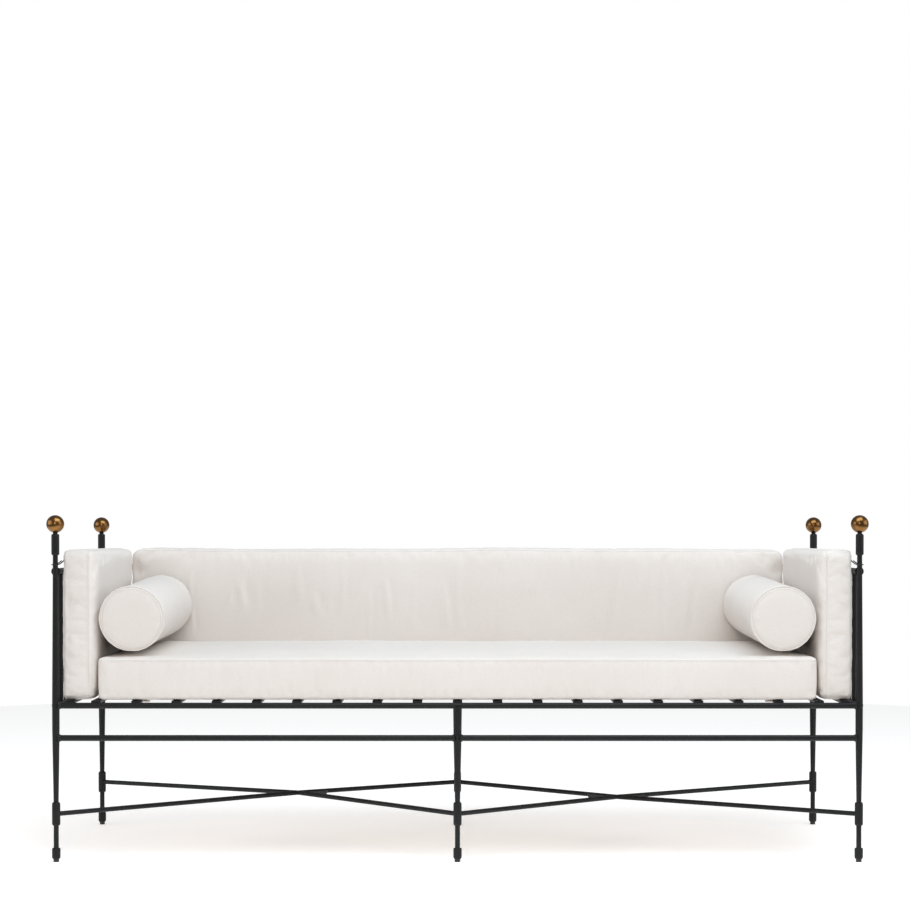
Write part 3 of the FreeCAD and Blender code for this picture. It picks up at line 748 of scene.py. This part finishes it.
def bolster(side):
    sign = SIDES[side]
    node = "bolster_" + side + "_cover"
    low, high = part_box(node)
    lean = (BOLSTER_RADIUS - BOLSTER_EDGE) * math.sin(CROWN_TILT)
    centre_x = (low.x + high.x) / 2
    centre_z = low.z + BOLSTER_RADIUS
    axis_start = low.y + lean
    radius = BOLSTER_RADIUS - PIPING_RADIUS
    front = axis_start + END_ROOM
    rear = high.y - lean - END_ROOM
    build = bmesh.new()
    bmesh.ops.create_cone(build, cap_ends=True, segments=72, radius1=radius, radius2=radius,
                          depth=rear - front)
    for vert in build.verts:
        x, y, z = vert.co
        vert.co = (centre_x + x, (front + rear) / 2 - z, centre_z + y)
    bmesh.ops.recalc_face_normals(build, faces=build.faces)
    mesh = bpy.data.meshes.new("bolster")
    build.to_mesh(mesh)
    build.free()
    voxel = BOLSTER_VOXEL
    piece = remeshed(mesh_object("bolster_" + side, mesh), voxel)
    start = points_of(piece.data)
    normals = vertex_normals(piece.data)
    out = np.hypot(start[:, 0] - centre_x, start[:, 2] - centre_z)
    at_end = (start[:, 1] < front + voxel * 0.7) | (start[:, 1] > rear - voxel * 0.7)
    pinned = (out > radius - voxel * 0.8) & at_end
    inflate(piece, pinned, COVER_SLACK)
    length = np.minimum(start[:, 1] - front, rear - start[:, 1])
    radial = 0.0016 + 0.0012 * smoothstep(length, 0.0, 0.05)
    weight = normals[:, 1] ** 2
    moved = soft_limit(points_of(piece.data) - start, weight * END_GIVE + (1 - weight) * radial)
    co = start + moved
    normals = vertex_normals(piece.data)
    facing = normals[:, 1] ** 2
    angle = np.arctan2(co[:, 2] - centre_z, co[:, 0] - centre_x)
    around = np.sin(angle * 7 + co[:, 1] * 6.0) * 0.0003
    around += wrinkle_field(co, 31 + sign, 8.0) * 0.0016
    ends = np.exp(-length / 0.03) * np.sin(angle * 34 + sign) * 0.0004
    co += normals * ((around + ends - 0.0009) * (1 - facing))[:, None]
    co += normals * (wrinkle_field(co, 37 + sign, 12.0) * 0.0010 * facing)[:, None]
    set_points(piece.data, leaned(co, axis_start, centre_z))
    nodes = ["bolster_" + side + "_core", node]
    finish_cushion(piece, "bolster_" + side + "_cushion", "bolster_" + side, nodes)
    turns = [2 * math.pi * k / RING_POINTS for k in range(RING_POINTS)]
    for label, y in (("front", front), ("rear", rear)):
        outward = -0.001 if label == "front" else 0.001
        # The piping is plain cover cotton. The ring inset on the end and the ring in the crevice
        # behind the piping are thin lines in darkened seam cotton: painted shade for the shadow
        # lines either side of the piping.
        rings = (("piping", radius, 0.0, PIPING_RADIUS, 0.0008, COTTON),
                 ("stitch_shade", radius - 0.0075, outward * 4, 0.0009, 0.0, SHADED_SEAM),
                 ("crevice_shade", radius + 0.001, -outward * 4, 0.0008, 0.0, SHADED_SEAM))
        for kind, reach, shift, thickness, lift, material in rings:
            path = [(centre_x + reach * math.cos(a), y + shift, centre_z + reach * math.sin(a))
                    for a in turns]
            path = leaned(path, axis_start, centre_z)
            name = "bolster_" + kind + "_" + label + "_" + side
            welt(name, path, thickness, "bolster_" + side, piece, lift, material)


# ---------------------------------------------------------------- zips and tapes
ZIP_PITCH = 0.006             # between the rows of points along a zip
SLAT_HALF = 0.0125            # half a slat's width
BAND_GAP = 0.0012             # from the slat's edge to the outside of the CAD tape
BAND_THICKNESS = 0.0009
KNOT_HALF = Vector((0.0088, 0.0095, 0.0032))
KNOT_OUT = 0.0115             # from the slat's edge to the knot's middle
KNOT_DROP = 0.0036            # from the slat's top to the knot's middle


def zip_strip(name, start, end, outward, target):
    """A zip sewn into a cushion face: tape, a raised coil along its middle and a slider."""
    start = Vector(start)
    end = Vector(end)
    outward = Vector(outward)
    along = (end - start).normalized()
    across = outward.cross(along)
    tree = BVHTree.FromObject(target, bpy.context.evaluated_depsgraph_get())
    rows = int((end - start).length / ZIP_PITCH)
    profile = [(-0.0125, 0.0), (-0.004, 0.0004), (-0.0028, 0.0004), (-0.0020, 0.0017), (0.0, 0.0021),
               (0.0020, 0.0017), (0.0028, 0.0004), (0.004, 0.0004), (0.0125, 0.0)]
    verts = []
    faces = []
    for i in range(rows + 1):
        middle = start.lerp(end, i / rows)
        for side, rise in profile:
            aim = middle + across * side
            hit = tree.ray_cast(aim + outward * 0.05, -outward, 0.2)[0]
            verts.append((hit or aim) + outward * (rise + 0.0003))
    wide = len(profile)
    for i in range(rows):
        for k in range(wide - 1):
            a = i * wide + k
            faces.append((a, a + wide, a + wide + 1, a + 1))
    mesh = bpy.data.meshes.new(name)
    mesh.from_pydata([tuple(v) for v in verts], [], faces)
    mesh.update()
    for polygon in mesh.polygons:
        polygon.use_smooth = True
    mesh.materials.append(ZIP)
    piece = mesh_object(name, mesh)
    slider(name + "_slider", verts[wide * 4 + wide // 2], along, across, outward)
    return piece


def slider(name, place, along, across, outward):
    """Zip slider with a short pull tab, lying along the zip."""
    build = bmesh.new()
    body = (0.009, 0.0075, 0.0030, 0.0)
    tab = (0.020, 0.0045, 0.0012, 0.013)
    for length, width, height, shift in (body, tab):
        made = bmesh.ops.create_cube(build, size=1.0)["verts"]
        for vert in made:
            x, y, z = vert.co
            rise = outward * (0.0010 + z * height)
            vert.co = place + along * (x * length + shift) + across * (y * width) + rise
    bmesh.ops.bevel(build, geom=build.edges[:], offset=0.0005, segments=2, affect="EDGES")
    mesh = bpy.data.meshes.new(name)
    build.to_mesh(mesh)
    build.free()
    mesh.materials.append(STEEL)
    piece = mesh_object(name, mesh)
    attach(piece, "frame")


def zips(back, arms):
    low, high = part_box("back_cushion_cover")
    half = high.x * 0.8
    middle = (low.z + high.z) / 2
    strip = zip_strip("zip_back", (-half, high.y, middle), (half, high.y, middle), (0, 1, 0), back)
    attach(strip, "frame")
    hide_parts("cushion_zips")
    for side, sign in SIDES.items():
        low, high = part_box("arm_cushion_" + side + "_cover")
        outer = high.x if sign > 0 else low.x
        inset = (high.y - low.y) * 0.1
        start = (outer, low.y + inset, middle)
        end = (outer, high.y - inset, middle)
        strip = zip_strip("zip_arm_" + side, start, end, (sign, 0, 0), arms[side])
        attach(strip, "frame")


def seat_tie(side):
    """Fabric tape wound round a slat, with a flat soft knot beside it."""
    sign = SIDES[side]
    low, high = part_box("seat_tie_" + side)
    slats_low, slats_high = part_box("seat_slats")
    thick = slats_high.z - slats_low.z
    edge = high.x if sign > 0 else low.x
    slat_x = edge - sign * (BAND_GAP + SLAT_HALF)
    width = high.y - low.y
    middle_y = (low.y + high.y) / 2
    middle_z = slats_low.z + thick / 2
    verts = []
    faces = []
    steps = 40
    columns = 9
    for i in range(steps):
        a = 2 * math.pi * i / steps
        corner = 1 / (abs(math.cos(a)) ** 8 + abs(math.sin(a)) ** 8) ** (1 / 8)
        x = slat_x + math.cos(a) * corner * (SLAT_HALF + 0.0006)
        z = middle_z + math.sin(a) * corner * (thick / 2 + 0.0005)
        for k in range(columns):
            s = k / (columns - 1) - 0.5
            ripple = 0.00045 * math.sin(k * 2.1 + i * 0.5)
            y = middle_y + s * width * (0.94 + 0.06 * math.sin(i))
            verts.append((x + math.cos(a) * ripple, y, z + math.sin(a) * ripple))
    for i in range(steps):
        j = (i + 1) % steps
        for k in range(columns - 1):
            a = i * columns + k
            b = j * columns + k
            faces.append((a, a + 1, b + 1, b))
    mesh = bpy.data.meshes.new("tape_band_" + side)
    mesh.from_pydata(verts, [], faces)
    mesh.update()
    band = mesh_object("tape_band_" + side, mesh)
    thicken = band.modifiers.new("thickness", "SOLIDIFY")
    thicken.thickness = BAND_THICKNESS
    thicken.offset = 1.0
    apply_modifiers(band)
    band.name = "seat_tie_band_" + side
    band.data.materials.append(TAPE)
    for polygon in band.data.polygons:
        polygon.use_smooth = True
    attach(band, "frame")
    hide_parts("seat_tie_" + side)
    knot_x = slat_x - sign * (SLAT_HALF + KNOT_OUT)
    knot(side, Vector((knot_x, middle_y, slats_high.z - KNOT_DROP)))


def knot(side, centre):
    """Soft flat knot: a creased lump of tape."""
    build = bmesh.new()
    lump = bmesh.ops.create_icosphere(build, subdivisions=4, radius=1.0)["verts"]
    for vert in lump:
        p = vert.co.copy()
        crease = 1 + 0.10 * math.sin(p.x * 9 + p.y * 4) + 0.07 * math.sin(p.y * 13 + p.z * 6)
        vert.co = centre + p * KNOT_HALF * crease
    mesh = bpy.data.meshes.new("seat_tie_knot_" + side)
    build.to_mesh(mesh)
    build.free()
    mesh.materials.append(TAPE)
    for polygon in mesh.polygons:
        polygon.use_smooth = True
    piece = mesh_object("seat_tie_knot_" + side, mesh)
    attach(piece, "frame")


# ---------------------------------------------------------------- room and light
def soft_light(name, place, aim, width, height, power, colour):
    data = bpy.data.lights.new(name, "AREA")
    data.shape = "RECTANGLE"
    data.size = width
    data.size_y = height
    data.energy = power
    data.color = colour
    light = bpy.data.objects.new(name, data)
    light.location = place
    light.rotation_euler = (Vector(aim) - Vector(place)).to_track_quat("-Z", "Y").to_euler()
    scene.collection.objects.link(light)


FLOOR_RADIUS = 3.8
FLOOR_BACK = 1.9              # its middle lies this far behind the daybed's


def room():
    """Pale floor: a disc that glows a little, so that it stays white from the front."""
    build = bmesh.new()
    bmesh.ops.create_circle(build, cap_ends=True, segments=96, radius=FLOOR_RADIUS)
    bmesh.ops.translate(build, verts=build.verts[:], vec=(0.0, FLOOR_BACK, 0.0))
    mesh = bpy.data.meshes.new("floor")
    build.to_mesh(mesh)
    build.free()
    n = Nodes("studio_floor")
    n.set("Base Color", (0.93, 0.93, 0.93, 1.0))
    n.set("Roughness", 0.9)
    n.set("Specular IOR Level", 0.1)
    n.set("Emission Color", (1.0, 0.92, 0.85, 1.0))
    n.set("Emission Strength", 0.40)
    mesh.materials.append(n.material)
    mesh_object("floor", mesh)


def background(tree, colour, strength):
    node = tree.nodes.new("ShaderNodeBackground")
    node.inputs["Color"].default_value = (*colour, 1.0)
    node.inputs["Strength"].default_value = strength
    return node.outputs[0]


def choice(tree, factor, first, second):
    node = tree.nodes.new("ShaderNodeMixShader")
    for value, socket in zip((factor, first, second), node.inputs):
        tree.links.new(value, socket)
    return node.outputs[0]


def studio():
    """White backdrop, cooler soft light from all round, dimmer in the gloss of the metal."""
    world = bpy.data.worlds.new("studio")
    scene.world = world
    world.use_nodes = True
    tree = world.node_tree
    tree.nodes.clear()
    output = tree.nodes.new("ShaderNodeOutputWorld")
    path = tree.nodes.new("ShaderNodeLightPath")
    seen = background(tree, (1.0, 1.0, 1.0), 1.0)
    ambient = background(tree, (0.89, 0.95, 1.0), 0.56)
    mirrored = background(tree, (0.9, 0.95, 1.0), 0.30)
    around = choice(tree, path.outputs["Is Glossy Ray"], ambient, mirrored)
    shown = choice(tree, path.outputs["Is Camera Ray"], around, seen)
    tree.links.new(shown, output.inputs["Surface"])

    soft_light("overhead", (0.5, -1.3, 3.1), (0.0, 0.3, 0.5), 3.2, 1.8, 72.0, (0.80, 0.91, 1.0))
    soft_light("front", (-0.3, -6.0, 2.1), (0.0, 0.0, 0.6), 0.6, 0.6, 32.0, (1.0, 0.76, 0.58))
    soft_light("left", (-4.2, -1.4, 1.8), (0.0, 0.0, 0.5), 3.4, 2.4, 44.0, (0.95, 0.97, 1.0))
    soft_light("right", (4.2, -1.4, 1.8), (0.0, 0.0, 0.5), 3.4, 2.4, 40.0, (0.95, 0.97, 1.0))


# ---------------------------------------------------------------- build
make_camera()
dress_frame()
seat_cushion()
back_piece = back_cushion()
arm_pieces = {side: arm_cushion(side) for side in SIDES}
for side in SIDES:
    bolster(side)
    seat_tie(side)
zips(back_piece, arm_pieces)
room()
studio()
scene.view_settings.view_transform = "Standard"
scene.view_settings.look = "None"
